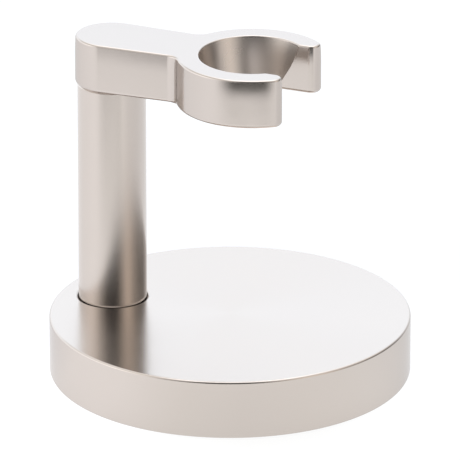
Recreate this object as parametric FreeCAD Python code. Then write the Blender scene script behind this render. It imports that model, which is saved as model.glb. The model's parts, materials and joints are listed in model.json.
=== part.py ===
import FreeCAD, Part
import os
from math import cos, pi, radians, sin, sqrt

from FreeCAD import Vector

# A free-standing stand for one wet-shaving razor. A heavy round base carries an upright post near
# its edge. An arm on top of the post ends in an open ring, and the razor's neck slips into the ring
# through a slot, so that the razor hangs head-up over the base.
#
# Millimetres. +Z is up, +X runs from the post towards the open end of the ring, and the origin is
# the centre of the footprint, on the surface that the stand rests on.

# --- driving dimensions -------------------------------------------------------------------------
BASE_DIAMETER = 80.0
BASE_THICKNESS = 13.4
OVERALL_HEIGHT = 75.5
POST_DIAMETER = 15.2
POST_OFFSET = 28.2          # from the base's axis to the post's axis
ARM_WIDTH = 16.2            # over the post; the sides draw in towards the ring
ARM_TAPER = radians(1.6)    # how far each side draws in
ARM_THICKNESS = 11.1
RING_DIAMETER = 33.8
RING_REACH = 33.5           # from the post's axis to the ring's axis
SEAT_TOP_DIAMETER = 23.7    # conical seat in the ring, at the arm's top face
SEAT_BOTTOM_DIAMETER = 18.6  # the same seat at the arm's underside
SLOT_WIDTH = 18.4           # open side of the ring, facing away from the post

# --- edges and corners --------------------------------------------------------------------------
TOP_ROUNDING = 0.5
BOTTOM_ROUNDING = 1.0
NECK_RADIUS = 3.5           # inside corners where the arm's sides run into the ring
TIP_RADIUS = 2.2            # rounded ends of the two prongs beside the slot
SEAT_ROUNDING = 0.3         # upper rim of the seat
EDGE_BREAK = 0.3            # small chamfers on the rims of holes

# --- foot ---------------------------------------------------------------------------------------
PAD_DIAMETER = 73.6
PAD_THICKNESS = 1.2
PAD_PROUD = 0.3             # how far the pad stands below the metal
FILM_THICKNESS = 0.15
RECESS_DIAMETER = 74.0

# --- post joint, an M6 screw from below -----------------------------------------------------------
SOCKET_DIAMETER = 15.8      # shallow socket in the base that the post stands in
SOCKET_DEPTH = 2.0
THREAD_DIAMETER = 6.0       # plain shanks stand for the M6 threads
TAPPED_DIAMETER = 6.1
CLEARANCE_DIAMETER = 6.6
HEAD_DIAMETER = 10.5
HEAD_HEIGHT = 3.3
HEAD_DOME = 1.6
KEY_ACROSS_FLATS = 4.0
KEY_DEPTH = 2.1
SCREW_LENGTH = 20.0
WASHER_DIAMETER = 12.0
WASHER_BORE = 6.4
WASHER_THICKNESS = 1.6
SPRING_DIAMETER = 11.8
SPRING_BORE = 6.2
SPRING_THICKNESS = 1.6
SPRING_SPLIT = 1.0
SPRING_SPLIT_LEAN = 20.0    # degrees from upright
COUNTERBORE_DIAMETER = 13.0
HEAD_ROOM = 0.3             # air between the screw's head and the pad's film
POST_HOLE_DEPTH = 16.0

# --- arm joint, a headless M6 stud ----------------------------------------------------------------
STUD_LENGTH = 20.0
STUD_IN_ARM = 7.3
STUD_END_ROOM = 0.4
STUD_KEY_ACROSS_FLATS = 3.0
STUD_KEY_DEPTH = 3.5
LEAD_CHAMFER = 0.6

TOLERANCE = 1e-6            # for telling which edges lie in a plane
OVERSHOOT = 1.0             # how far a cutter runs past the face that it opens

# --- levels worked out from the above -------------------------------------------------------------
base_bottom = PAD_PROUD
base_top = base_bottom + BASE_THICKNESS
socket_floor = base_top - SOCKET_DEPTH
recess_roof = PAD_THICKNESS + FILM_THICKNESS
head_low = recess_roof + HEAD_ROOM
head_seat = head_low + HEAD_HEIGHT
spring_top = head_seat + SPRING_THICKNESS
washer_top = spring_top + WASHER_THICKNESS
arm_top = OVERALL_HEIGHT
arm_bottom = arm_top - ARM_THICKNESS
stud_top = arm_bottom + STUD_IN_ARM
stud_bottom = stud_top - STUD_LENGTH
post_x = -POST_OFFSET
ring_x = post_x + RING_REACH


def cylinder(diameter, low, high, x=0.0):
    """An upright cylinder between two levels."""
    return Part.makeCylinder(diameter / 2, high - low, Vector(x, 0, low))


def cone(low_diameter, high_diameter, low, high, x=0.0):
    """An upright cone frustum between two levels."""
    return Part.makeCone(low_diameter / 2, high_diameter / 2, high - low, Vector(x, 0, low))


def countersink_up(diameter, level, x=0.0, size=EDGE_BREAK):
    """Cutter that breaks the upper rim of a hole whose mouth is at this level."""
    return cone(diameter, diameter + 4 * size, level - size, level + size, x)


def countersink_down(diameter, level, x=0.0, size=EDGE_BREAK):
    """Cutter that breaks the lower rim of a hole whose mouth is at this level."""
    return cone(diameter + 4 * size, diameter, level - size, level + size, x)


def hexagon_prism(across_flats, low, high, x=0.0):
    """An upright hexagonal prism, the shape of a key's socket."""
    corner = across_flats / sqrt(3)
    points = [Vector(x + corner * cos(k * pi / 3), corner * sin(k * pi / 3), low) for k in range(7)]
    return Part.Face(Part.makePolygon(points)).extrude(Vector(0, 0, high - low))


def flat_edges(solid, level):
    """The edges of a solid that lie in the horizontal plane at this level."""
    return [e for e in solid.Edges
            if abs(e.BoundBox.ZMin - level) < TOLERANCE and abs(e.BoundBox.ZMax - level) < TOLERANCE]


def base_disc():
    """Heavy turned disc: post socket on top, pad recess and screw pocket below."""
    disc = cylinder(BASE_DIAMETER, base_bottom, base_top)
    disc = disc.makeFillet(TOP_ROUNDING, flat_edges(disc, base_top))
    disc = disc.makeFillet(BOTTOM_ROUNDING, flat_edges(disc, base_bottom))
    cutters = [
        cylinder(RECESS_DIAMETER, base_bottom - OVERSHOOT, recess_roof),
        cylinder(COUNTERBORE_DIAMETER, recess_roof - OVERSHOOT, washer_top, post_x),
        cylinder(CLEARANCE_DIAMETER, washer_top - OVERSHOOT, socket_floor + OVERSHOOT, post_x),
        cylinder(SOCKET_DIAMETER, socket_floor, base_top + OVERSHOOT, post_x),
        countersink_up(SOCKET_DIAMETER, base_top, post_x, EDGE_BREAK / 2),
        countersink_down(COUNTERBORE_DIAMETER, recess_roof, post_x),
    ]
    for cutter in cutters:
        disc = disc.cut(cutter)
    return disc


def foot_pad():
    """Rubber non-slip disc that the stand rests on, with a softened lower rim."""
    pad = cylinder(PAD_DIAMETER, 0, PAD_THICKNESS)
    return pad.makeFillet(PAD_PROUD / 2, flat_edges(pad, 0))


def pad_film():
    """Thin disc of double-sided adhesive between the pad and the base."""
    return cylinder(PAD_DIAMETER, PAD_THICKNESS, recess_roof)


def post():
    """Round bar with a tapped blind hole in each end."""
    bar = cylinder(POST_DIAMETER, socket_floor, arm_bottom, post_x)
    ends = flat_edges(bar, socket_floor) + flat_edges(bar, arm_bottom)
    bar = bar.makeChamfer(EDGE_BREAK, ends)
    stud_hole_floor = stud_bottom - STUD_END_ROOM
    cutters = [
        cylinder(TAPPED_DIAMETER, socket_floor - OVERSHOOT, socket_floor + POST_HOLE_DEPTH, post_x),
        countersink_down(TAPPED_DIAMETER, socket_floor, post_x),
        cylinder(TAPPED_DIAMETER, stud_hole_floor, arm_bottom + OVERSHOOT, post_x),
        countersink_up(TAPPED_DIAMETER, arm_bottom, post_x),
    ]
    for cutter in cutters:
        bar = bar.cut(cutter)
    return bar


def post_screw():
    """Button-head screw that clamps the post down into its socket."""
    head = cylinder(HEAD_DIAMETER, head_low, head_seat, post_x)
    head = head.makeFillet(HEAD_DOME, flat_edges(head, head_low))
    shank = cylinder(THREAD_DIAMETER, head_seat, head_seat + SCREW_LENGTH, post_x)
    shank = shank.makeChamfer(LEAD_CHAMFER, flat_edges(shank, head_seat + SCREW_LENGTH))
    screw = head.fuse(shank).removeSplitter()
    key = hexagon_prism(KEY_ACROSS_FLATS, head_low - OVERSHOOT, head_low + KEY_DEPTH, post_x)
    return screw.cut(key)


def spring_washer():
    """Split lock washer under the screw's head, drawn flat as it is when tight."""
    ring = cylinder(SPRING_DIAMETER, head_seat, spring_top, post_x)
    ring = ring.cut(cylinder(SPRING_BORE, head_seat - OVERSHOOT, spring_top + OVERSHOOT, post_x))
    split = Part.makeBox(SPRING_DIAMETER, SPRING_SPLIT, 2 * SPRING_THICKNESS,
                         Vector(post_x, -SPRING_SPLIT / 2, head_seat - SPRING_THICKNESS / 2))
    split.rotate(Vector(post_x, 0, (head_seat + spring_top) / 2), Vector(1, 0, 0), SPRING_SPLIT_LEAN)
    return ring.cut(split)


def flat_washer():
    """Plain washer between the lock washer and the base."""
    ring = cylinder(WASHER_DIAMETER, spring_top, washer_top, post_x)
    return ring.cut(cylinder(WASHER_BORE, spring_top - OVERSHOOT, washer_top + OVERSHOOT, post_x))


def arm_stud():
    """Headless socket screw that joins the post's top to the arm."""
    stud = cylinder(THREAD_DIAMETER, stud_bottom, stud_top, post_x)
    ends = flat_edges(stud, stud_bottom) + flat_edges(stud, stud_top)
    stud = stud.makeChamfer(LEAD_CHAMFER, ends)
    key_floor = stud_top - STUD_KEY_DEPTH
    key = hexagon_prism(STUD_KEY_ACROSS_FLATS, key_floor, stud_top + OVERSHOOT, post_x)
    return stud.cut(key)


def plan_point(x, y):
    """A point of the arm's outline, in the plane of its underside."""
    return Vector(x, y, arm_bottom)


def arc(centre, radius, start, end, bulge):
    """Round edge from start to end about a centre; bulge points from the centre to the arc's middle."""
    middle = centre + Vector(bulge).normalize() * radius
    return Part.Arc(start, middle, end).toShape()


def line(start, end):
    return Part.LineSegment(start, end).toShape()


def mirrored(point):
    """The same point on the other side of the stand's middle plane."""
    return Vector(point.x, -point.y, point.z)


def arm_outline():
    """Plan of the arm: round end, straight sides, open ring with two rounded prongs."""
    half_width = ARM_WIDTH / 2
    half_slot = SLOT_WIDTH / 2
    ring_radius = RING_DIAMETER / 2
    post_axis = plan_point(post_x, 0)
    ring_axis = plan_point(ring_x, 0)

    # straight side, a tangent of the round end that draws in by the taper
    side_normal = Vector(sin(ARM_TAPER), cos(ARM_TAPER), 0)
    side_along = Vector(cos(ARM_TAPER), -sin(ARM_TAPER), 0)
    side_start = post_axis + side_normal * half_width

    # inside corner where the straight side runs into the ring
    neck_reach = ring_radius + NECK_RADIUS
    neck_offset = half_width + NECK_RADIUS
    ring_offset = (ring_axis - post_axis).dot(side_normal)
    ring_along = (ring_axis - post_axis).dot(side_along)
    neck_along = ring_along - sqrt(neck_reach ** 2 - (neck_offset - ring_offset) ** 2)
    side_end = side_start + side_along * neck_along
    neck_axis = side_end + side_normal * NECK_RADIUS
    ring_start = ring_axis + (neck_axis - ring_axis) * (ring_radius / neck_reach)

    # rounded end of a prong, between the ring's wall and the slot's face
    tip_reach = ring_radius - TIP_RADIUS
    tip_y = half_slot + TIP_RADIUS
    tip_axis = plan_point(ring_x + sqrt(tip_reach ** 2 - tip_y ** 2), tip_y)
    ring_end = ring_axis + (tip_axis - ring_axis) * (ring_radius / tip_reach)
    slot_start = plan_point(tip_axis.x, half_slot)
    slot_end = plan_point(ring_x, half_slot)

    tip_bulge = (ring_end - tip_axis).normalize() + Vector(0, -1, 0)
    neck_bulge = (ring_axis - neck_axis).normalize() - side_normal
    ring_bulge = (ring_start - ring_axis).normalize() + (ring_end - ring_axis).normalize()

    edges = [arc(post_axis, half_width, side_start, mirrored(side_start), Vector(-1, 0, 0))]
    for turn in (lambda point: point, mirrored):
        edges += [
            line(turn(side_start), turn(side_end)),
            arc(turn(neck_axis), NECK_RADIUS, turn(side_end), turn(ring_start), turn(neck_bulge)),
            arc(ring_axis, ring_radius, turn(ring_start), turn(ring_end), turn(ring_bulge)),
            arc(turn(tip_axis), TIP_RADIUS, turn(ring_end), turn(slot_start), turn(tip_bulge)),
            line(turn(slot_start), turn(slot_end)),
        ]
    edges.append(line(slot_end, mirrored(slot_end)))
    return Part.Wire(Part.__sortEdges__(edges))


def seat_cutter():
    """Solid of the conical seat, flared out where the seat's two rims are rounded."""
    blank = cylinder(RING_DIAMETER, arm_bottom, arm_top, ring_x)
    collar = blank.cut(cone(SEAT_BOTTOM_DIAMETER, SEAT_TOP_DIAMETER, arm_bottom, arm_top, ring_x))
    for level, rounding in ((arm_top, SEAT_ROUNDING), (arm_bottom, BOTTOM_ROUNDING)):
        rim = [e for e in flat_edges(collar, level) if e.Curve.Radius < SEAT_TOP_DIAMETER / 2 + rounding]
        collar = collar.makeFillet(rounding, rim)
    return blank.cut(collar)


def arm():
    """Flat arm with the open ring, its outer edges rounded, and a tapped blind hole underneath."""
    plate = Part.Face(arm_outline()).extrude(Vector(0, 0, ARM_THICKNESS))
    for level, rounding in ((arm_top, TOP_ROUNDING), (arm_bottom, BOTTOM_ROUNDING)):
        rim = [e for e in flat_edges(plate, level) if e.BoundBox.XLength > TOLERANCE]
        plate = plate.makeFillet(rounding, rim)
    cutters = [
        seat_cutter(),
        cylinder(TAPPED_DIAMETER, arm_bottom - OVERSHOOT, stud_top + STUD_END_ROOM, post_x),
        countersink_down(TAPPED_DIAMETER, arm_bottom, post_x),
    ]
    for cutter in cutters:
        plate = plate.cut(cutter)
    return plate


NODES = {
    "base_disc": base_disc,
    "foot_pad": foot_pad,
    "pad_film": pad_film,
    "post": post,
    "post_screw": post_screw,
    "spring_washer": spring_washer,
    "flat_washer": flat_washer,
    "arm": arm,
    "arm_stud": arm_stud,
}

os.makedirs("parts", exist_ok=True)
for name, make in NODES.items():
    shape = make()
    if len(shape.Solids) == 1:
        shape = shape.Solids[0]
    box = shape.BoundBox
    print(f"{name}: {len(shape.Solids)} solid, valid {shape.isValid()}, {shape.Volume:.1f} mm3, "
          f"x {box.XMin:.2f}..{box.XMax:.2f}, y {box.YMin:.2f}..{box.YMax:.2f}, "
          f"z {box.ZMin:.2f}..{box.ZMax:.2f}")
    shape.exportStep(f"parts/{name}.step")
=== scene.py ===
# %% [markdown]
# A razor stand is three turned or cast metal pieces in one satin nickel plate: a heavy round base, an
# upright post near its edge and a flat arm that ends in an open ring. Screws, washers and a rubber
# pad hide inside and underneath. Each piece that is made again prints how close its box lies to the
# frame's piece.

# %% load the frame
import json
from math import atan2, cos, pi, radians, sin, sqrt, tan

import bmesh
import bpy
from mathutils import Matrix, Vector
from mathutils.geometry import tessellate_polygon


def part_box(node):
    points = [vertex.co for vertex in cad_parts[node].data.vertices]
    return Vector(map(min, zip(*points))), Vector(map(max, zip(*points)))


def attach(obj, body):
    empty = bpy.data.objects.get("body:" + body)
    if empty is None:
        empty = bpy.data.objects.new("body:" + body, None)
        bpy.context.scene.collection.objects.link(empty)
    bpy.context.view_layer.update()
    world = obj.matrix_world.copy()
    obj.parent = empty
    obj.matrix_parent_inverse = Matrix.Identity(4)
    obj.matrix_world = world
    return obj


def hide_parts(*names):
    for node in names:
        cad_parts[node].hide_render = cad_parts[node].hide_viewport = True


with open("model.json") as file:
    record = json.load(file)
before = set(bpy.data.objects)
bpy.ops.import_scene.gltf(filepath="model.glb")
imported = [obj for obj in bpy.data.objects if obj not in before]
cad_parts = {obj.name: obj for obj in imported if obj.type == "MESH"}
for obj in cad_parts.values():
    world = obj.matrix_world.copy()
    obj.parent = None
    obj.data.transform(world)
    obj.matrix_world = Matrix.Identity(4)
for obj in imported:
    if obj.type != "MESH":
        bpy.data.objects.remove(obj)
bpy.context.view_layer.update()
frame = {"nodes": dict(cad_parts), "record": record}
BODY = "root"
MM = 0.001
nodes = frame["nodes"]
print("pieces in the frame:", ", ".join(sorted(nodes)))

# %% places that the frame gives
base_low, base_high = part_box("base_disc")
post_low, post_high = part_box("post")
arm_low, arm_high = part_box("arm")
post_axis = (post_low + post_high) / 2
base_radius = (base_high.x - base_low.x) / 2
seat_mount = next(mount for mount in frame["record"]["mounts"] if mount["name"] == "razor_seat")
ring_axis_x = seat_mount["pos_m"][0]
print("base radius, mm:", round(base_radius / MM, 2), "post axis x, mm:", round(post_axis.x / MM, 2))

# %% [markdown]
# A product picture of a small thing is taken from well back with a long lens, so that round edges
# stay round and nothing near the lens swells. The camera stands almost two metres away, a little to
# the right of square-on, and looks down at the base. It is aimed by its angles, not by a
# constraint, so other views can simply move it.

# %% camera
VIEW_AZIMUTH = radians(22.41)
VIEW_PITCH = radians(21.668)
CAMERA_BACK = 1.76
CAMERA_HEIGHT = 0.7327
LENS_MM = 672.0
SENSOR_MM = 36.0
NEAREST, FARTHEST = 0.1, 10.0       # metres that the camera can see between

camera_data = bpy.data.cameras.new("camera")
camera_data.sensor_width = SENSOR_MM
camera_data.lens = LENS_MM
camera_data.clip_start, camera_data.clip_end = NEAREST, FARTHEST
camera = bpy.data.objects.new("camera", camera_data)
bpy.context.scene.collection.objects.link(camera)
camera.location = (CAMERA_BACK * sin(VIEW_AZIMUTH), -CAMERA_BACK * cos(VIEW_AZIMUTH), CAMERA_HEIGHT)
camera.rotation_euler = (pi / 2 - VIEW_PITCH, 0, VIEW_AZIMUTH)
bpy.context.scene.camera = camera
bpy.context.scene.view_settings.view_transform = "Standard"
print("camera at, m:", [round(v, 3) for v in camera.location])

# %% [markdown]
# Every finish below is a small tree of nodes. Writing each link by hand would hide the idea behind
# the wiring, so one helper makes a node, sets it, and joins it: an input is given either as a value
# or as another node's output.

# %% node helper
def add_node(tree, kind, inputs=(), output=0, **settings):
    """Make a node, fill its inputs from values or sockets, and return one of its outputs."""
    made = tree.nodes.new(kind)
    for key, value in settings.items():
        setattr(made, key, value)
    for key, value in dict(inputs).items():
        if isinstance(value, bpy.types.NodeSocket):
            tree.links.new(value, made.inputs[key])
        else:
            made.inputs[key].default_value = value
    return made.outputs[output] if len(made.outputs) else None


def math_node(tree, operation, first, second=0.0, third=0.0):
    """One sum on up to three values or sockets."""
    return add_node(tree, "ShaderNodeMath", {0: first, 1: second, 2: third}, operation=operation)


def ramp_node(tree, factor, stops):
    """A colour ramp from (position, colour) stops."""
    made = tree.nodes.new("ShaderNodeValToRGB")
    elements = made.color_ramp.elements
    while len(elements) < len(stops):
        elements.new(1.0)
    for element, (position, colour) in zip(elements, stops):
        element.position = position
        element.color = (*colour, 1.0)
    tree.links.new(factor, made.inputs[0])
    return made.outputs[0]


print("helpers for nodes:", ", ".join(helper.__name__ for helper in (add_node, math_node, ramp_node)))

# %% [markdown]
# Polished or satin metal has almost no colour of its own in a picture: it shows the room. So the
# room is the main part of this finish. It could be built from lamps and cards, but a sky that is
# painted by direction is smoother, lights everything softly and has no edges to tune. Directions are
# counted from where the camera stands for the main view, and they stay put when the camera moves.

# %% directions in the room
RADIANCE_UNIT = 2.5     # ramp colours stop at one, so light is painted at a fraction of its strength


def camera_axes(tree, place):
    """Right, back and up parts of a place or direction, as seen from the main view."""
    turned = add_node(tree, "ShaderNodeVectorRotate", {"Vector": place, "Angle": -VIEW_AZIMUTH},
                      rotation_type="Z_AXIS")
    parts = tree.nodes.new("ShaderNodeSeparateXYZ")
    tree.links.new(turned, parts.inputs[0])
    return parts.outputs


def azimuth_share(tree, right, back):
    """Angle round from the main view, positive to the right, as a share of a full turn."""
    toward_camera = math_node(tree, "MULTIPLY", back, -1.0)
    azimuth = math_node(tree, "ARCTAN2", right, toward_camera)
    return math_node(tree, "MULTIPLY_ADD", azimuth, 1 / (2 * pi), 0.5)


def light_stops(table, low, high):
    """Ramp stops from a table of (angle in degrees, light)."""
    return [((angle - low) / (high - low), [part / RADIANCE_UNIT for part in light])
            for angle, light in table]


print("directions are turned by, degrees:", round(VIEW_AZIMUTH * 180 / pi, 1))

# %% [markdown]
# Round the horizon the room has a bright backdrop behind the stand, a bright panel to the left, the
# unlit side of the studio in front, round the camera, and a warm stripe to the right. Over the top,
# from back to front, come a grey gap, a wide soft box and the dark again. A ready-made studio picture
# could be wrapped round the scene instead, but then nobody could say which light does what.

# %% light round the horizon and over the top
AROUND = [              # degrees round from the main view, positive to the right
    (-180, (1.55, 1.67, 1.81)),
    (-125, (1.40, 1.45, 1.50)),
    (-95, (1.60, 1.60, 1.60)),
    (-75, (1.75, 1.74, 1.72)),
    (-54, (1.20, 1.18, 1.15)),
    (-38, (0.50, 0.49, 0.48)),
    (-24, (0.16, 0.155, 0.15)),
    (-5, (0.075, 0.075, 0.08)),
    (10, (0.085, 0.085, 0.085)),
    (22, (0.20, 0.19, 0.18)),
    (36, (0.66, 0.61, 0.56)),
    (50, (1.12, 1.01, 0.90)),
    (62, (0.98, 0.88, 0.78)),
    (78, (0.52, 0.48, 0.44)),
    (100, (0.28, 0.27, 0.26)),
    (125, (0.30, 0.30, 0.30)),
    (148, (0.90, 0.92, 0.95)),
    (165, (1.48, 1.59, 1.70)),
    (180, (1.55, 1.67, 1.81)),
]
OVER = [                # degrees up from the back horizon, over the top and down to the front one
    (0, (1.55, 1.67, 1.81)),
    (24, (1.55, 1.67, 1.81)),
    (29, (0.78, 0.79, 0.80)),
    (35, (0.72, 0.72, 0.72)),
    (42, (2.20, 2.22, 2.25)),
    (85, (2.40, 2.42, 2.45)),
    (103, (1.00, 1.00, 1.00)),
    (128, (0.13, 0.13, 0.125)),
    (180, (0.10, 0.10, 0.095)),
]
BOX_FULL, BOX_EDGE = 0.20, 0.42     # how far to the side a direction may point and see the soft box
BESIDE_BOX = (0.95, 0.93, 0.90)
OVER_STARTS, OVER_ENDS = radians(24), radians(40)       # height at which the top takes over
print("light is set for", len(AROUND) + len(OVER), "directions")

# %% the room as a painted sky
def plain_colour(light):
    """A fixed light as a socket's colour."""
    return (*[part / RADIANCE_UNIT for part in light], 1.0)


def mix_colours(tree, share, first, second):
    """The first colour where share is nought, the second where it is one."""
    return add_node(tree, "ShaderNodeMix", {"Factor": share, 6: first, 7: second}, output=2,
                    data_type="RGBA")


def soft_step(tree, value, starts, ends):
    """Nought at one value, one at the other, with a smooth rise between."""
    return add_node(tree, "ShaderNodeMapRange", {"Value": value, "From Min": starts, "From Max": ends},
                    interpolation_type="SMOOTHSTEP")


world = bpy.data.worlds.new("studio")
bpy.context.scene.world = world
world.use_nodes = True
sky = world.node_tree
sky.nodes.clear()
ray = add_node(sky, "ShaderNodeTexCoord", output="Generated")
right, back, up = camera_axes(sky, ray)
around = ramp_node(sky, azimuth_share(sky, right, back), light_stops(AROUND, -180, 180))
arch = math_node(sky, "ARCTAN2", up, back)
over = ramp_node(sky, math_node(sky, "MULTIPLY", arch, 1 / pi), light_stops(OVER, 0, 180))
box_share = soft_step(sky, math_node(sky, "ABSOLUTE", right), BOX_EDGE, BOX_FULL)
over = mix_colours(sky, box_share, plain_colour(BESIDE_BOX), over)
over_share = soft_step(sky, math_node(sky, "ARCSINE", up), OVER_STARTS, OVER_ENDS)
room = mix_colours(sky, over_share, around, over)
camera_ray = add_node(sky, "ShaderNodeLightPath", output="Is Camera Ray")
seen = mix_colours(sky, camera_ray, room, plain_colour((1, 1, 1)))
background = add_node(sky, "ShaderNodeBackground", {"Color": seen, "Strength": RADIANCE_UNIT})
add_node(sky, "ShaderNodeOutputWorld", {"Surface": background})
print("sky nodes:", len(sky.nodes))

# %% [markdown]
# The floor is a plain white sweep. It also lights the stand from below, so it decides the colour of
# every upright face. A white sheet under lamps would do, but its shadows would show in the plate.
# Here most of the floor's light is its own, as on a light table, which keeps the shadow round the
# base faint. The light varies a little round the stand, as in a real room.

# %% light of the floor
FLOOR_HALF = 4.0
FLOOR_GREY = (0.12, 0.12, 0.12, 1.0)
FLOOR_ROUGHNESS = 0.9
NEAR_GLOW = [           # degrees round from the main view, positive to the right, close to the base
    (-180, (0.85, 0.87, 0.90)),
    (-135, (0.92, 0.93, 0.96)),
    (-110, (1.00, 1.00, 1.03)),
    (-80, (1.10, 1.10, 1.12)),
    (-50, (1.07, 1.07, 1.09)),
    (-20, (0.95, 0.95, 0.95)),
    (5, (0.91, 0.91, 0.91)),
    (30, (0.92, 0.92, 0.92)),
    (65, (0.96, 0.97, 0.98)),
    (90, (0.95, 0.96, 0.98)),
    (135, (0.89, 0.90, 0.92)),
    (180, (0.85, 0.87, 0.90)),
]
FAR_GLOW = [            # the same a hand's width out
    (-180, (0.93, 0.95, 0.98)),
    (-100, (1.00, 1.00, 1.02)),
    (-65, (1.05, 1.05, 1.07)),
    (-45, (1.03, 1.03, 1.04)),
    (-25, (1.04, 1.04, 1.04)),
    (0, (1.08, 1.08, 1.08)),
    (30, (0.98, 0.98, 0.98)),
    (55, (0.84, 0.84, 0.85)),
    (90, (0.80, 0.80, 0.81)),
    (180, (0.93, 0.95, 0.98)),
]
NEAR_ENDS, FAR_STARTS = 0.055, 0.115        # metres from the middle of the stand
print("floor glow changes between, mm:", NEAR_ENDS / MM, FAR_STARTS / MM)

# %% floor
def flat_sheet(name, half, middle=Vector()):
    """A level square, and the nodes of its paint."""
    corners = [middle + Vector((half * x, half * y, 0)) for x, y in ((-1, -1), (1, -1), (1, 1), (-1, 1))]
    mesh = bpy.data.meshes.new(name)
    mesh.from_pydata(corners, [], [range(len(corners))])
    sheet = bpy.data.objects.new(name, mesh)
    bpy.context.scene.collection.objects.link(sheet)
    paint = bpy.data.materials.new(name)
    paint.use_nodes = True
    sheet.data.materials.append(paint)
    return sheet, paint.node_tree


floor, tree = flat_sheet("floor", FLOOR_HALF)
shader = tree.nodes["Principled BSDF"]
shader.inputs["Base Color"].default_value = FLOOR_GREY
shader.inputs["Roughness"].default_value = FLOOR_ROUGHNESS
shader.inputs["Specular IOR Level"].default_value = 0.0
place = add_node(tree, "ShaderNodeTexCoord", output="Object")
right, back, up = camera_axes(tree, place)
round_floor = azimuth_share(tree, right, back)
from_middle = add_node(tree, "ShaderNodeVectorMath", {0: place}, output="Value", operation="LENGTH")
far_share = soft_step(tree, from_middle, NEAR_ENDS, FAR_STARTS)
near_glow = ramp_node(tree, round_floor, light_stops(NEAR_GLOW, -180, 180))
far_glow = ramp_node(tree, round_floor, light_stops(FAR_GLOW, -180, 180))
tree.links.new(mix_colours(tree, far_share, near_glow, far_glow), shader.inputs["Emission Color"])
shader.inputs["Emission Strength"].default_value = RADIANCE_UNIT
print(floor.name, 2 * FLOOR_HALF, "m square")

# %% [markdown]
# The lit part of a studio table ends somewhere in front of the stand. What lies beyond is dark, and
# the ring's wall shows it as a soft shade under its top edge. The floor's own light could fade there,
# but then the floor would look grey. So a dark card lies just over the floor, in front, with soft
# edges. Only reflections show it: the camera does not, so the floor stays plain from every side.

# %% dark card
CARD_HEIGHT = 0.5 * MM
CARD_REACH = 1.2
CARD_STARTS, CARD_FULL = 0.187, 0.285       # metres from the ring's axis
CARD_LEFT = radians(-58), radians(-26)      # round from the main view: where it starts and is full
CARD_RIGHT = radians(35), radians(17)
CARD_LIGHT = (0.10, 0.10, 0.095, 1.0)

card_middle = Vector((ring_axis_x, 0, CARD_HEIGHT))
card, tree = flat_sheet("dark_card", CARD_REACH, card_middle)
card.visible_camera = card.visible_shadow = card.visible_diffuse = False
tree.nodes.clear()
from_ring = add_node(tree, "ShaderNodeVectorMath",
                     {0: add_node(tree, "ShaderNodeTexCoord", output="Object"), 1: card_middle},
                     operation="SUBTRACT")
right, back, up = camera_axes(tree, from_ring)
distance = add_node(tree, "ShaderNodeVectorMath", {0: from_ring}, output="Value", operation="LENGTH")
round_card = math_node(tree, "ARCTAN2", right, math_node(tree, "MULTIPLY", back, -1.0))
cover = soft_step(tree, distance, CARD_STARTS, CARD_FULL)
for starts, full in (CARD_LEFT, CARD_RIGHT):
    cover = math_node(tree, "MULTIPLY", cover, soft_step(tree, round_card, starts, full))
dark = add_node(tree, "ShaderNodeEmission", {"Color": CARD_LIGHT})
clear = add_node(tree, "ShaderNodeBsdfTransparent")
mixed = add_node(tree, "ShaderNodeMixShader", {0: cover, 1: clear, 2: dark})
add_node(tree, "ShaderNodeOutputMaterial", {"Surface": mixed})
print("dark card starts, mm in front of the ring:", CARD_STARTS / MM)

# %% [markdown]
# The frame's own solids are right, but their faces are long thin triangles, and on a mirror-like
# plate every one of them shows along a rounded edge. The plated pieces are therefore made again,
# face to face with the measured ones. A subdivision surface would be quick, but it shrinks round
# shapes. Here each piece is laid out as rings of points instead, and every face corner is told the
# true direction of the surface there. That keeps highlights perfect on few faces.

# %% a skin of rings with true surface directions
WELD = 0.0005 * MM


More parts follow.
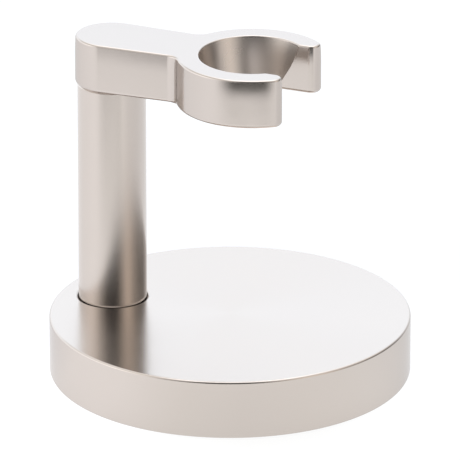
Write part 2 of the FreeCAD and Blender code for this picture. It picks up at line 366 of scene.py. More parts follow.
class Skin:
    """Points and faces of one piece, with the true surface direction at every face corner."""

    def __init__(self):
        self.points, self.faces, self.directions, self.worn = [], [], [], []
        self.finishes, self.finish_index = [], 0

    def ring(self, places, worn=0.0):
        """Add points and return their numbers; worn marks an edge that handling has rubbed."""
        start = len(self.points)
        self.points += [tuple(place) for place in places]
        self.worn += [worn] * len(places)
        return list(range(start, len(self.points)))

    def face(self, corners, directions):
        """Add a face, turned so that its front agrees with the surface directions."""
        across = Vector(self.points[corners[2]]) - Vector(self.points[corners[0]])
        other = Vector(self.points[corners[-1]]) - Vector(self.points[corners[1]])
        if across.cross(other).dot(sum(directions, Vector())) < 0:
            corners, directions = corners[::-1], directions[::-1]
        self.faces.append(corners)
        self.finishes.append(self.finish_index)
        self.directions += directions

    def band(self, low, high, low_directions, high_directions, columns=None):
        """Quads between two rings; columns picks the quads, all of them unless it is given."""
        count = len(low)
        for i in columns if columns is not None else range(count):
            j = (i + 1) % count
            self.face([low[i], low[j], high[j], high[i]],
                      [low_directions[i], low_directions[j], high_directions[j], high_directions[i]])

    def plate(self, loops, direction):
        """Flat face bounded by loops: the first outside, the others round its holes."""
        flat = [corner for loop in loops for corner in loop]
        outlines = [[Vector(self.points[corner]) for corner in loop] for loop in loops]
        for triangle in tessellate_polygon(outlines):
            self.face([flat[k] for k in triangle], [direction] * 3)

    def make(self, name, stands_for, smooth_angle=None):
        """Turn the skin into an object that rides on the stand in place of a frame node."""
        mesh = bpy.data.meshes.new(name)
        mesh.from_pydata(self.points, [], self.faces)
        mesh.shade_smooth()
        mesh.polygons.foreach_set("material_index", self.finishes)
        mesh.attributes.new("worn", "FLOAT", "POINT").data.foreach_set("value", self.worn)
        if smooth_angle is None:
            mesh.normals_split_custom_set(self.directions)
        else:
            welded = bmesh.new()
            welded.from_mesh(mesh)
            bmesh.ops.remove_doubles(welded, verts=welded.verts, dist=WELD)
            bmesh.ops.dissolve_degenerate(welded, dist=WELD, edges=welded.edges)
            welded.to_mesh(mesh)
            welded.free()
            mesh.set_sharp_from_angle(angle=smooth_angle)
        piece = bpy.data.objects.new(name, mesh)
        bpy.context.scene.collection.objects.link(piece)
        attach(piece, BODY)
        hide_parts(stands_for)
        low, high = Vector(map(min, zip(*self.points))), Vector(map(max, zip(*self.points)))
        cad_low, cad_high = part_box(stands_for)
        gap = max((low - cad_low).length, (high - cad_high).length)
        print(f"{name}: {len(self.points)} points, {len(self.faces)} faces, "
              f"box within {gap / MM:.3f} mm of {stands_for}")
        return piece


print("points closer than this are welded, mm:", WELD / MM)

# %% [markdown]
# A lathe cuts its work from a profile, and so does this one. The profile is a list of straight and
# round runs, walked with the metal on the left hand, so that the surface direction is always to the
# right. Round runs take a point every few degrees.

# %% lathe
TURN_STEPS = 192
ROUND_STEPS = 10


def straight(start, end):
    """A straight run of a profile: (radius, height, outward radial part, outward upward part)."""
    along = Vector((end[0] - start[0], end[1] - start[1])).normalized()
    return [(*start, along.y, -along.x), (*end, along.y, -along.x)]


def rounded(centre, radius, start_deg, end_deg):
    """A round run about a centre, from one angle to another."""
    turned_deg = end_deg - start_deg
    angles = [radians(start_deg + turned_deg * k / ROUND_STEPS) for k in range(ROUND_STEPS + 1)]
    return [(centre[0] + radius * cos(a), centre[1] + radius * sin(a), cos(a), sin(a)) for a in angles]


def turn(skin, axis_x, runs, steps=TURN_STEPS):
    """Revolve runs about an upright axis and return the first and the last ring."""
    angles = [2 * pi * k / steps for k in range(steps)]
    first = last = None
    for run in runs:
        worn = 1.0 if len(run) > 2 else 0.0
        for index, (radius, height, _, _) in enumerate(run):
            if index == 0 and last is not None:
                ring = last
            else:
                edge = worn if 0 < index < len(run) - 1 else 0.0
                places = [(axis_x + radius * cos(a), radius * sin(a), height) for a in angles]
                ring = skin.ring(places, edge)
            first = first or ring
            if index:
                before, here = run[index - 1], run[index]
                skin.band(last, ring,
                          [Vector((before[2] * cos(a), before[2] * sin(a), before[3])) for a in angles],
                          [Vector((here[2] * cos(a), here[2] * sin(a), here[3])) for a in angles])
            last = ring
    return first, last


UP, DOWN = Vector((0, 0, 1)), Vector((0, 0, -1))
print("lathe turns in steps of, degrees:", 360 / TURN_STEPS)

# %% [markdown]
# The base is turned from bar: a flat top, a small rounding above and a larger one below, and a
# shallow recess for the pad. The post's socket and the screw's pocket are off centre, so they are
# turned about the post's axis and joined to the two flat faces by a ring of quads.

# %% sizes of the base
BASE_TOP_ROUNDING = 0.5 * MM
BASE_BOTTOM_ROUNDING = 1.0 * MM
RECESS_ROOM = 0.2 * MM              # between the pad's edge and the recess
SOCKET_ROOM = 0.3 * MM              # round the post, a thin dark ring from above
SOCKET_BREAK = 0.15 * MM
POCKET_RADIUS = 6.5 * MM
CLEARANCE_RADIUS = 3.3 * MM
POCKET_BREAK = 0.3 * MM

pad_low, pad_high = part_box("foot_pad")
_, film_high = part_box("pad_film")
_, washer_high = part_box("flat_washer")
post_radius = (post_high.x - post_low.x) / 2
recess_radius = pad_high.x + RECESS_ROOM
socket_radius = post_radius + SOCKET_ROOM
print("post's socket, mm across:", round(2 * socket_radius / MM, 1))

# %% base
base_skin = Skin()
outside_first, outside_last = turn(base_skin, 0, [
    straight((recess_radius, film_high.z), (recess_radius, base_low.z)),
    straight((recess_radius, base_low.z), (base_radius - BASE_BOTTOM_ROUNDING, base_low.z)),
    rounded((base_radius - BASE_BOTTOM_ROUNDING, base_low.z + BASE_BOTTOM_ROUNDING),
            BASE_BOTTOM_ROUNDING, -90, 0),
    straight((base_radius, base_low.z + BASE_BOTTOM_ROUNDING),
             (base_radius, base_high.z - BASE_TOP_ROUNDING)),
    rounded((base_radius - BASE_TOP_ROUNDING, base_high.z - BASE_TOP_ROUNDING),
            BASE_TOP_ROUNDING, 0, 90),
])
hole_first, hole_last = turn(base_skin, post_axis.x, [
    straight((socket_radius + 2 * SOCKET_BREAK, base_high.z), (socket_radius, base_high.z - SOCKET_BREAK)),
    straight((socket_radius, base_high.z - SOCKET_BREAK), (socket_radius, post_low.z)),
    straight((socket_radius, post_low.z), (CLEARANCE_RADIUS, post_low.z)),
    straight((CLEARANCE_RADIUS, post_low.z), (CLEARANCE_RADIUS, washer_high.z)),
    straight((CLEARANCE_RADIUS, washer_high.z), (POCKET_RADIUS, washer_high.z)),
    straight((POCKET_RADIUS, washer_high.z), (POCKET_RADIUS, film_high.z + POCKET_BREAK)),
    straight((POCKET_RADIUS, film_high.z + POCKET_BREAK), (POCKET_RADIUS + 2 * POCKET_BREAK, film_high.z)),
])
base_skin.band(outside_last, hole_first, [UP] * TURN_STEPS, [UP] * TURN_STEPS)
base_skin.band(outside_first, hole_last, [DOWN] * TURN_STEPS, [DOWN] * TURN_STEPS)
base_piece = base_skin.make("base_plated", "base_disc")

# %% [markdown]
# The post is plain bar with a small chamfer at each end and a tapped hole up each end. The lathe
# walks once round the whole section: up the lower hole, across its end, and so on.

# %% post
POST_CHAMFER = 0.3 * MM
BORE_RADIUS = 3.05 * MM
BORE_BREAK = 0.3 * MM
LOWER_BORE_DEPTH = 16.0 * MM
stud_low, stud_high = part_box("arm_stud")
STUD_ROOM = 0.4 * MM


def blind_hole(skin, axis_x, mouth, end, step_in):
    """Wall and end of a tapped hole; step_in is +1 if the hole goes up from its mouth, else -1."""
    runs = [
        straight((BORE_RADIUS + 2 * BORE_BREAK, mouth), (BORE_RADIUS, mouth + step_in * BORE_BREAK)),
        straight((BORE_RADIUS, mouth + step_in * BORE_BREAK), (BORE_RADIUS, end)),
    ]
    if step_in > 0:
        runs = [[(r, z, -nr, -nz) for r, z, nr, nz in run] for run in runs]
    mouth_ring, end_ring = turn(skin, axis_x, runs)
    skin.plate([end_ring], DOWN if step_in > 0 else UP)
    return mouth_ring


post_skin = Skin()
foot_ring, top_ring = turn(post_skin, post_axis.x, [
    straight((post_radius - POST_CHAMFER, post_low.z), (post_radius, post_low.z + POST_CHAMFER)),
    straight((post_radius, post_low.z + POST_CHAMFER), (post_radius, post_high.z - POST_CHAMFER)),
    straight((post_radius, post_high.z - POST_CHAMFER), (post_radius - POST_CHAMFER, post_high.z)),
])
lower_mouth = blind_hole(post_skin, post_axis.x, post_low.z, post_low.z + LOWER_BORE_DEPTH, 1)
upper_mouth = blind_hole(post_skin, post_axis.x, post_high.z, stud_low.z - STUD_ROOM, -1)
post_skin.band(foot_ring, lower_mouth, [DOWN] * TURN_STEPS, [DOWN] * TURN_STEPS)
post_skin.band(top_ring, upper_mouth, [UP] * TURN_STEPS, [UP] * TURN_STEPS)
post_piece = post_skin.make("post_plated", "post")

# %% [markdown]
# The arm is one casting. Seen from above it is a round end over the post, two sides that draw in a
# little, two hollow corners, and a ring that is open at the far side and ends in two rounded prongs.
# Seen from the side, its walls are upright with a rounding above and below, but the ring's inside is
# a cone, wide at the top, that the razor's collar sits in. So the arm is built as a stack of plans,
# one for each height: the walls step in where the edge is rounded, and the cone opens upwards.

# %% plan of the arm at one height
ARM_TAPER = radians(1.6)
NECK_RADIUS = 3.5 * MM
TIP_RADIUS = 2.2 * MM
SLOT_HALF = 9.2 * MM
CORNER_RADIUS = 0.4 * MM        # where the seat runs out into the slot
TIP_STEPS, RING_STEPS, NECK_STEPS, END_STEPS = 16, 48, 12, 32
CORNER_STEPS, SEAT_STEPS = 6, 128
ring_at = Vector((ring_axis_x, 0, 0))
post_at = Vector((post_axis.x, 0, 0))
ring_radius = (arm_high.y - arm_low.y) / 2
end_radius = post_axis.x - arm_low.x


def plan_arc(centre, radius, start, end, steps, hollow=False):
    """Points and outward directions along an arc from one angle to another."""
    side = -1 if hollow else 1
    angles = [start + (end - start) * k / steps for k in range(steps + 1)]
    return [(Vector((centre.x + radius * cos(a), centre.y + radius * sin(a), 0)),
             Vector((side * cos(a), side * sin(a), 0))) for a in angles]


def angle_of(vector):
    """Angle of a level direction, counted from +X."""
    return atan2(vector.y, vector.x)


def upper_half(inset):
    """Outer wall on the +Y side, from the prong's inner end back to the arm's round end."""
    normal = Vector((sin(ARM_TAPER), cos(ARM_TAPER), 0))
    along = Vector((cos(ARM_TAPER), -sin(ARM_TAPER), 0))
    reach = ring_radius + NECK_RADIUS
    offset = end_radius + NECK_RADIUS - (ring_at - post_at).dot(normal)
    neck_along = (ring_at - post_at).dot(along) - sqrt(reach ** 2 - offset ** 2)
    neck_at = post_at + normal * (end_radius + NECK_RADIUS) + along * neck_along
    tip_reach = ring_radius - TIP_RADIUS
    tip_y = SLOT_HALF + TIP_RADIUS
    tip_at = ring_at + Vector((sqrt(tip_reach ** 2 - tip_y ** 2), tip_y, 0))
    tip_angle, neck_angle = angle_of(tip_at - ring_at), angle_of(neck_at - ring_at)

    tip = plan_arc(tip_at, TIP_RADIUS - inset, -pi / 2, tip_angle, TIP_STEPS)
    ring = plan_arc(ring_at, ring_radius - inset, tip_angle, neck_angle, RING_STEPS)
    neck = plan_arc(neck_at, NECK_RADIUS + inset, neck_angle - pi, -pi / 2 - ARM_TAPER, NECK_STEPS,
                    hollow=True)
    round_end = plan_arc(post_at, end_radius - inset, pi / 2 - ARM_TAPER, pi, END_STEPS)
    return tip + ring[1:] + neck[1:] + round_end


def arm_plan(inset, seat_radius):
    """Closed plan at one height: wall points, then seat points, each with its direction."""
    reach, offset = seat_radius + CORNER_RADIUS, SLOT_HALF + inset + CORNER_RADIUS
    corner_at = ring_at + Vector((sqrt(reach ** 2 - offset ** 2), offset, 0))
    corner_angle = angle_of(corner_at - ring_at)
    corner = plan_arc(corner_at, CORNER_RADIUS, corner_angle - pi, -pi / 2, CORNER_STEPS)
    upper = corner + upper_half(inset)
    lower = [(Vector((p.x, -p.y, 0)), Vector((d.x, -d.y, 0))) for p, d in reversed(upper[:-1])]
    seat = plan_arc(ring_at, seat_radius, -corner_angle, corner_angle - 2 * pi, SEAT_STEPS, hollow=True)
    return upper + lower, seat


print("ring, mm across:", round(2 * ring_radius / MM, 1), "slot, mm:", round(2 * SLOT_HALF / MM, 1))

# %% [markdown]
# A casting is never sharp. The walls round over by half a millimetre above and by a whole one below,
# and buffing takes a little more off just below the top edge, so the wall leans in there by a tenth of
# a millimetre or so. A bevel modifier can't do that last part. Each height therefore says how far
# its plan steps in and how far its wall leans back.

# %% heights of the arm's plans
ARM_TOP_ROUNDING = 0.5 * MM
ARM_BOTTOM_ROUNDING = 1.0 * MM
SEAT_TOP_RADIUS = 11.85 * MM
SEAT_BOTTOM_RADIUS = 9.3 * MM
SEAT_TOP_ROUNDING = 0.3 * MM
ROLL_HEIGHT = 5.0 * MM          # buffing rolls the walls over a little below the top edge
ROLL_LEAN = radians(5)
ROLL_STEPS = 10
FLARE_STEPS = 3
cone_angle = atan2(SEAT_TOP_RADIUS - SEAT_BOTTOM_RADIUS, arm_high.z - arm_low.z)


def cone_radius(height):
    """Radius of the seat's cone, before its roundings."""
    return SEAT_BOTTOM_RADIUS + (height - arm_low.z) * tan(cone_angle)


def seat_at(height):
    """Radius of the seat at a height, and its surface's radial and upward direction."""
    top_centre = arm_high.z - SEAT_TOP_ROUNDING
    low_centre = arm_low.z + ARM_BOTTOM_ROUNDING
    for centre, rounding, reached in (
            (top_centre, SEAT_TOP_ROUNDING,
             height > top_centre + SEAT_TOP_ROUNDING * sin(cone_angle)),
            (low_centre, ARM_BOTTOM_ROUNDING,
             height < low_centre + ARM_BOTTOM_ROUNDING * sin(cone_angle))):
        if reached:
            middle = cone_radius(centre) + rounding / cos(cone_angle)
            rise = max(-1.0, min(1.0, (height - centre) / rounding))
            return middle - rounding * sqrt(1 - rise ** 2), -sqrt(1 - rise ** 2), rise
    return cone_radius(height), -cos(cone_angle), sin(cone_angle)


def arm_levels():
    """(height, how far the walls step in, how far they lean back, worn) from below up."""
    levels = []
    for k in range(ROUND_STEPS + 1):
        lean = pi / 2 * (k / ROUND_STEPS - 1)
        levels.append((arm_low.z + ARM_BOTTOM_ROUNDING * (1 + sin(lean)),
                       ARM_BOTTOM_ROUNDING * (1 - cos(lean)), lean, float(0 < k < ROUND_STEPS)))
    flare = ARM_BOTTOM_ROUNDING * sin(cone_angle)       # the seat's rounding ends this much higher
    for k in range(1, FLARE_STEPS + 1):
        levels.append((arm_low.z + ARM_BOTTOM_ROUNDING + flare * k / FLARE_STEPS, 0.0, 0.0, 0.0))
    roll_ends = arm_high.z - ARM_TOP_ROUNDING * (1 - sin(ROLL_LEAN))
    roll_inset = ROLL_LEAN * ROLL_HEIGHT / 3
    for k in range(ROLL_STEPS):
        share = k / ROLL_STEPS
        levels.append((roll_ends - ROLL_HEIGHT * (1 - share), roll_inset * share ** 3,
                       ROLL_LEAN * share ** 2, 0.0))
    for k in range(ROUND_STEPS + 1):
        lean = ROLL_LEAN + (pi / 2 - ROLL_LEAN) * k / ROUND_STEPS
        levels.append((arm_high.z - ARM_TOP_ROUNDING * (1 - sin(lean)),
                       roll_inset + ARM_TOP_ROUNDING * (cos(ROLL_LEAN) - cos(lean)), lean,
                       float(0 < k < ROUND_STEPS)))
    return levels


print("cone leans, degrees:", round(cone_angle * 180 / pi, 1), "plans in the stack:", len(arm_levels()))

# %% the arm
WALL_FINISH, SEAT_FINISH = 0, 1     # the seat is bored, not brushed, and has its own finish, in a lighter copy of the nickel that paints light
arm_skin = Skin()
below = None
for height, inset, lean, worn in arm_levels():
    outward, upward = cos(lean), sin(lean)
    seat_radius, seat_out, seat_up = seat_at(height)
    wall, seat = arm_plan(inset, seat_radius)
    places = [p for p, _ in wall] + [p for p, _ in seat[1:-1]]
    ring = arm_skin.ring([(p.x, p.y, height) for p in places], worn)
    wall_directions = [d * outward + UP * upward for _, d in wall]
    seat_directions = [-d * seat_out + UP * seat_up for _, d in seat]
    wall_count, total = len(wall), len(ring)
    wall_part = wall_directions + [UP] * (total - wall_count)
    seat_part = [seat_directions[-1]] + [UP] * (wall_count - 2) + seat_directions[:-1]
    if below:
        arm_skin.band(below[0], ring, below[1], wall_part, range(wall_count - 1))
        arm_skin.finish_index = SEAT_FINISH
        arm_skin.band(below[0], ring, below[2], seat_part, range(wall_count - 1, total))
        arm_skin.finish_index = WALL_FINISH
    else:
        bottom_ring = ring
    below = (ring, wall_part, seat_part)
arm_skin.plate([below[0]], UP)
arm_bore = blind_hole(arm_skin, post_axis.x, arm_low.z, stud_high.z + STUD_ROOM, 1)
arm_skin.plate([bottom_ring, arm_bore], DOWN)
arm_piece = arm_skin.make("arm_plated", "arm")

# %% [markdown]
# Screws are often drawn as plain shanks. A real thread is a ridge that climbs one pitch for every
# turn. It could be a spiral curve with a profile swept along it, but then the ends stay open. Here
# rows of points follow the climb, four rows to a turn: the two edges of the root and the two edges
# of the crest. Rows that pass an end are held at the end, where the thread runs out in a chamfer.
# Points that fall together there are welded afterwards.

# %% threads
THREAD_PITCH = 1.0 * MM
CREST_RADIUS = 3.0 * MM
ROOT_RADIUS = 2.39 * MM
THREAD_ROWS = (         # share of the pitch, radius
    (0.0, ROOT_RADIUS), (0.25, ROOT_RADIUS), (0.5625, CREST_RADIUS), (0.6875, CREST_RADIUS))
THREAD_COLUMNS = 96
SHARP_ANGLE = radians(25)


def thread(skin, axis_x, low, high):
    """Outside thread between two levels; returns the rings at its lower and upper end."""
    rows = []
    full_turns = int((high - low) / THREAD_PITCH)
    for climb in range(-1, full_turns + 3):         # the spare turns close the two ends
        for share, row_radius in THREAD_ROWS:
            places = []
            for k in range(THREAD_COLUMNS):
                angle = 2 * pi * k / THREAD_COLUMNS
                height = low + THREAD_PITCH * (climb + share + k / THREAD_COLUMNS)
                height = min(max(height, low), high)
                radius = min(row_radius, ROOT_RADIUS + min(height - low, high - height))
                places.append((axis_x + radius * cos(angle), radius * sin(angle), height))
            rows.append(skin.ring(places))
    turn_rows = len(THREAD_ROWS)
    for i in range(len(rows) - 1 - turn_rows):
        for k in range(THREAD_COLUMNS):
            last = k == THREAD_COLUMNS - 1
            lower = rows[i + turn_rows][0] if last else rows[i][k + 1]
            upper = rows[i + 1 + turn_rows][0] if last else rows[i + 1][k + 1]
            angle = 2 * pi * (k + 0.5) / THREAD_COLUMNS
            outward = Vector((cos(angle), sin(angle), 0))
            skin.face([rows[i][k], lower, upper, rows[i + 1][k]], [outward] * 4)
    return rows[0], rows[-1]


print("thread: pitch, mm:", round(THREAD_PITCH / MM, 2), "rows to a turn:", len(THREAD_ROWS))

# %% key sockets
HEXAGON = 6


def key_socket(skin, axis_x, across_flats, mouth, floor_level, mouth_ring):
    """Flat face round a hexagonal socket, the socket's walls and its floor."""
    out = DOWN if floor_level > mouth else UP
    corner = across_flats / sqrt(3)
    angles = [2 * pi * k / HEXAGON for k in range(HEXAGON)]
    rims = [skin.ring([(axis_x + corner * cos(a), corner * sin(a), level) for a in angles])
            for level in (mouth, floor_level)]
    skin.plate([mouth_ring, rims[0]], out)
    for k, angle in enumerate(angles):
        middle = angle + pi / HEXAGON
        inward = -Vector((cos(middle), sin(middle), 0))
        j = (k + 1) % HEXAGON
        skin.face([rims[0][k], rims[0][j], rims[1][j], rims[1][k]], [inward] * 4)
    skin.plate([rims[1]], out)


print("key sockets have", HEXAGON, "sides")

# %% the screw under the base
HEAD_DOME = 1.6 * MM
SCREW_KEY, SCREW_KEY_DEPTH = 4.0 * MM, 2.1 * MM
screw_low, screw_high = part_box("post_screw")
spring_low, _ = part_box("spring_washer")
head_radius = (screw_high.x - screw_low.x) / 2

screw_skin = Skin()
_, shank_tip = thread(screw_skin, post_axis.x, spring_low.z, screw_high.z)
screw_skin.plate([shank_tip], UP)
head_face, _ = turn(screw_skin, post_axis.x, [
    rounded((head_radius - HEAD_DOME, screw_low.z + HEAD_DOME), HEAD_DOME, -90, 0),
    straight((head_radius, screw_low.z + HEAD_DOME), (head_radius, spring_low.z)),
    straight((head_radius, spring_low.z), (ROOT_RADIUS, spring_low.z)),
], steps=THREAD_COLUMNS)
key_socket(screw_skin, post_axis.x, SCREW_KEY, screw_low.z, screw_low.z + SCREW_KEY_DEPTH, head_face)
screw_piece = screw_skin.make("post_screw_threaded", "post_screw", SHARP_ANGLE)

# %% the headless stud between post and arm
STUD_KEY, STUD_KEY_DEPTH = 3.0 * MM, 3.5 * MM
stud_skin = Skin()
stud_foot, stud_tip = thread(stud_skin, post_axis.x, stud_low.z, stud_high.z)
stud_skin.plate([stud_foot], DOWN)
key_socket(stud_skin, post_axis.x, STUD_KEY, stud_high.z, stud_high.z - STUD_KEY_DEPTH, stud_tip)
stud_piece = stud_skin.make("arm_stud_threaded", "arm_stud", SHARP_ANGLE)

# %% [markdown]
# The pad is cut from rubber sheet with fine round ribs pressed into its lower face, so that it grips
# a wet shelf. A bump texture would do for a picture, but ribs of real depth are right from any side.
# They are one more profile for the lathe: land, slope, groove, slope, and again.

# %% ribbed pad
RIB_SPACING = 1.6 * MM
GROOVE_DEPTH = 0.18 * MM
GROOVE_HALF = 0.28 * MM         # half the groove's width at its mouth
GROOVE_FLOOR = 0.12 * MM        # half its width at the bottom
PAD_ROUNDING = 0.15 * MM
FIRST_GROOVE = 4.0 * MM
pad_radius = pad_high.x

pad_runs = [straight((FIRST_GROOVE - RIB_SPACING, pad_low.z), (FIRST_GROOVE - GROOVE_HALF, pad_low.z))]
groove_count = int((pad_radius - 2 * RIB_SPACING - FIRST_GROOVE) / RIB_SPACING) + 1
for k in range(groove_count):
    middle = FIRST_GROOVE + k * RIB_SPACING
    next_land = middle + RIB_SPACING - GROOVE_HALF if k + 1 < groove_count else pad_radius - PAD_ROUNDING
    corners = [(middle - GROOVE_HALF, pad_low.z), (middle - GROOVE_FLOOR, pad_low.z + GROOVE_DEPTH),
               (middle + GROOVE_FLOOR, pad_low.z + GROOVE_DEPTH), (middle + GROOVE_HALF, pad_low.z),
               (next_land, pad_low.z)]
    pad_runs += [straight(start, end) for start, end in zip(corners, corners[1:])]
pad_runs += [
    rounded((pad_radius - PAD_ROUNDING, pad_low.z + PAD_ROUNDING), PAD_ROUNDING, -90, 0),
    straight((pad_radius, pad_low.z + PAD_ROUNDING), (pad_radius, pad_high.z)),
]
pad_skin = Skin()
pad_middle, pad_rim = turn(pad_skin, 0, pad_runs)
pad_skin.plate([pad_middle], DOWN)
pad_skin.plate([pad_rim], UP)
pad_piece = pad_skin.make("foot_pad_ribbed", "foot_pad")
print("grooves in the pad:", groove_count)

# %% [markdown]
# Metal for satin nickel is blasted or brushed before it is plated, so it is a mirror broken up by a
# grain far finer than a hair. A rough metal shader gives the broad softness. Noise at a fraction of a
# millimetre moves the roughness and the surface a little, so that highlights are not dead even.
# Edges are rubbed smoother by handling: a mark on the rounded runs tells the shader where they are.

# %% lines of the brush and of the lathe
GRAIN_STRETCH = 0.04    # brushing lines are this much slower along their run
NUDGE = (0.01, 0, 0)    # gives the lines a direction on level faces too


def brushing(tree, turned):
    """Plain place, place for the lines' noise, and the direction that the lines run in."""
    place = add_node(tree, "ShaderNodeTexCoord", output="Object")
    if turned:
        run = add_node(tree, "ShaderNodeTangent", direction_type="RADIAL", axis="Z")
        middle = add_node(tree, "ShaderNodeVectorMath", {0: place, 1: (turned[0], turned[1], 0)},
                          operation="SUBTRACT")
        parts = tree.nodes.new("ShaderNodeSeparateXYZ")
        tree.links.new(middle, parts.inputs[0])
        x, y, z = parts.outputs
        radius = math_node(tree, "SQRT", math_node(tree, "ADD", math_node(tree, "MULTIPLY", x, x),
                                                   math_node(tree, "MULTIPLY", y, y)))
        along = math_node(tree, "MULTIPLY", math_node(tree, "ARCTAN2", y, x), turned[2] * GRAIN_STRETCH)
        lines = add_node(tree, "ShaderNodeCombineXYZ", {"X": radius, "Y": along, "Z": z})
    else:
        normal = add_node(tree, "ShaderNodeNewGeometry", output="Normal")
        level = add_node(tree, "ShaderNodeVectorMath", {0: normal, 1: (0, 0, 1)}, operation="CROSS_PRODUCT")
        run = add_node(tree, "ShaderNodeVectorMath", {0: level, 1: NUDGE})
        lines = add_node(tree, "ShaderNodeVectorMath", {0: place, 1: (GRAIN_STRETCH, 1, 1)},
                         operation="MULTIPLY")
    return place, lines, run


print("lines are stretched:", round(1 / GRAIN_STRETCH), "times")

# %% plated metal
EDGE_RUB = 0.15         # how much smoother a rounded edge is
CLOUD_MM = 14.0         # size of the faint clouds in the plate
CLOUD_ROUGHNESS = 0.07  # how much rougher or smoother a cloud is
CLOUD_SHADE = 0.985     # how much darker
NOISE_LOW, NOISE_HIGH = 0.3, 0.7        # where the noise's values mostly lie
GRAIN_STRENGTH = 0.3
ACROSS_LINES = 0.25     # share of a turn between the lines and the stretched gloss
WAVE_LENGTH = 5.0       # mm between polishing waves


def metal_finish(name, colour, roughness, stretch=0.0, grain_mm=0.12, grain_depth_mm=0.0012, turned=None,
                 wave_mm=None, edge_tint=None):
    """Plated metal: brushing lines, faint clouding, smoother edges, and gloss stretched across the lines.

    turned gives the lathe's axis and a typical radius, for lines that run round it. wave_mm gives the
    height of the slow waves that hand polishing leaves on a casting. edge_tint is the share of light
    that the plate keeps where it turns away."""
    finish = bpy.data.materials.new(name)
    finish.use_nodes = True
    tree = finish.node_tree
    shader = tree.nodes["Principled BSDF"]
    shader.inputs["Metallic"].default_value = 1.0
    place, lines, run = brushing(tree, turned)
    clouds = add_node(tree, "ShaderNodeTexNoise",
                      {"Vector": place, "Scale": 1 / (CLOUD_MM * MM), "Detail": 3.0, "Roughness": 0.5})
    grain = add_node(tree, "ShaderNodeTexNoise",
                     {"Vector": lines, "Scale": 1 / (grain_mm * MM), "Detail": 2.0, "Roughness": 0.6})
    clouded = add_node(tree, "ShaderNodeMapRange",
                       {"Value": clouds, "From Min": NOISE_LOW, "From Max": NOISE_HIGH,
                        "To Min": roughness * (1 - CLOUD_ROUGHNESS),
                        "To Max": roughness * (1 + CLOUD_ROUGHNESS)})
    edge = add_node(tree, "ShaderNodeAttribute", output="Fac", attribute_name="worn")
    rubbed = math_node(tree, "MULTIPLY", edge, roughness * EDGE_RUB)
    tree.links.new(math_node(tree, "SUBTRACT", clouded, rubbed), shader.inputs["Roughness"])
    shade = [part * CLOUD_SHADE for part in colour]
    tint = ramp_node(tree, clouds, [(NOISE_LOW, shade), (NOISE_HIGH, colour)])
    tree.links.new(tint, shader.inputs["Base Color"])
    bump = add_node(tree, "ShaderNodeBump",
                    {"Strength": GRAIN_STRENGTH, "Distance": grain_depth_mm * MM, "Height": grain})
    if wave_mm:
        waves = add_node(tree, "ShaderNodeTexNoise", {"Vector": place, "Scale": 1 / (WAVE_LENGTH * MM),
                                                      "Detail": 1.0})
        bump = add_node(tree, "ShaderNodeBump", {"Strength": 1.0, "Distance": wave_mm * MM, "Height": waves,
                                                 "Normal": bump})
    tree.links.new(bump, shader.inputs["Normal"])
    shader.inputs["Anisotropic"].default_value = stretch
    shader.inputs["Anisotropic Rotation"].default_value = ACROSS_LINES
    tree.links.new(run, shader.inputs["Tangent"])
    if edge_tint:
        shader.inputs["Specular Tint"].default_value = (edge_tint, edge_tint, edge_tint, 1.0)
    return finish


print("polishing waves, mm:", WAVE_LENGTH)

# %% satin nickel on base, post and arm
NICKEL = (0.615, 0.56, 0.52)
SHADED_ARM_NICKEL = (0.592, 0.539, 0.502)      # painted shade: the same nickel a little darker, so the arm reads duller
LIT_SEAT_NICKEL = (0.62, 0.57, 0.535)        # painted light: the same nickel a little lighter and cooler, so the bore reads brighter
EDGE_TINT = 0.82
turned_base = metal_finish("satin_nickel_base", NICKEL, 0.20, stretch=0.6, turned=(0, 0, base_radius),
                           edge_tint=EDGE_TINT)
turned_post = metal_finish("satin_nickel_post", NICKEL, 0.22, stretch=0.75,
                           turned=(post_axis.x, 0, post_radius))
# the arm takes the darker copy of the nickel, which is painted shade
brushed_arm = metal_finish("satin_nickel_arm", SHADED_ARM_NICKEL, 0.17, stretch=0.1, wave_mm=0.02,
                           edge_tint=EDGE_TINT)
# the seat takes the lighter copy of the nickel, which is painted light
bored_seat = metal_finish("satin_nickel_seat", LIT_SEAT_NICKEL, 0.29)
for piece, finish in ((base_piece, turned_base), (post_piece, turned_post), (arm_piece, brushed_arm),
                      (arm_piece, bored_seat)):
    piece.data.materials.append(finish)
    print(piece.name, "finished in", finish.name)

# %% [markdown]
# The small parts have plainer finishes. Bright zinc and oiled black oxide are metals too, so they
# come from the same recipe with other numbers. Rubber and film are not metals. Rubber is matt and
# never quite black, with dust-fine speckle. The film is pale, slightly glossy and a little uneven
# where the glue wetted it.

# %% rubber and film
SPECKLE_DARK, SPECKLE_LIGHT = 0.35, 0.65        # noise below is all dark, above all light


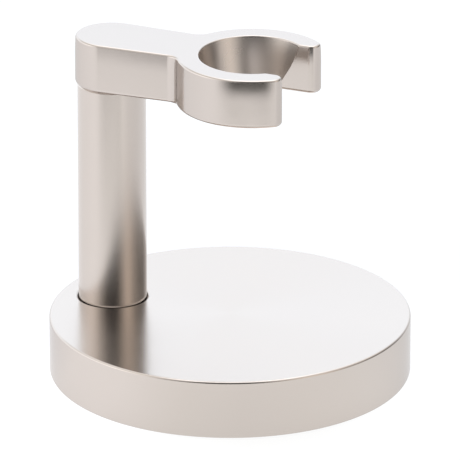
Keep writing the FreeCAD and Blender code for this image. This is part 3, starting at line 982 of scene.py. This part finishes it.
def soft_finish(name, dark, light, speckle_mm, roughness_low, roughness_high, depth_mm):
    """A finish that is not metal, with speckled colour, uneven gloss and a fine bump."""
    finish = bpy.data.materials.new(name)
    finish.use_nodes = True
    tree = finish.node_tree
    shader = tree.nodes["Principled BSDF"]
    place = add_node(tree, "ShaderNodeTexCoord", output="Object")
    speckle = add_node(tree, "ShaderNodeTexNoise",
                       {"Vector": place, "Scale": 1 / (speckle_mm * MM), "Detail": 3.0, "Roughness": 0.6})
    tint = ramp_node(tree, speckle, [(SPECKLE_DARK, dark), (SPECKLE_LIGHT, light)])
    tree.links.new(tint, shader.inputs["Base Color"])
    gloss = add_node(tree, "ShaderNodeMapRange",
                     {"Value": speckle, "From Min": NOISE_LOW, "From Max": NOISE_HIGH,
                      "To Min": roughness_low, "To Max": roughness_high})
    tree.links.new(gloss, shader.inputs["Roughness"])
    bump = add_node(tree, "ShaderNodeBump", {"Strength": 0.6, "Distance": depth_mm * MM, "Height": speckle})
    tree.links.new(bump, shader.inputs["Normal"])
    return finish


rubber = soft_finish("pad_rubber", dark=(0.022, 0.022, 0.023), light=(0.045, 0.045, 0.046),
                     speckle_mm=0.4, roughness_low=0.62, roughness_high=0.85, depth_mm=0.02)
film = soft_finish("adhesive_film", dark=(0.74, 0.72, 0.64), light=(0.84, 0.83, 0.76),
                   speckle_mm=1.5, roughness_low=0.30, roughness_high=0.50, depth_mm=0.004)
print("soft finishes:", rubber.name, film.name)

# %% zinc and black oxide
ZINC = (0.66, 0.67, 0.69)
BLACK_OXIDE = (0.055, 0.055, 0.06)
zinc = metal_finish("zinc_plate", ZINC, 0.30, stretch=0.3, grain_mm=0.25, grain_depth_mm=0.003,
                    turned=(post_axis.x, 0, head_radius))
black_oxide = metal_finish("black_oxide", BLACK_OXIDE, 0.36, grain_mm=0.20, grain_depth_mm=0.003)
pad_piece.data.materials.append(rubber)
screw_piece.data.materials.append(zinc)
stud_piece.data.materials.append(black_oxide)
for name, finish in (("pad_film", film), ("spring_washer", zinc), ("flat_washer", zinc)):
    nodes[name].data.materials.clear()
    nodes[name].data.materials.append(finish)
print("small parts finished in", ", ".join(m.name for m in (rubber, film, zinc, black_oxide)))
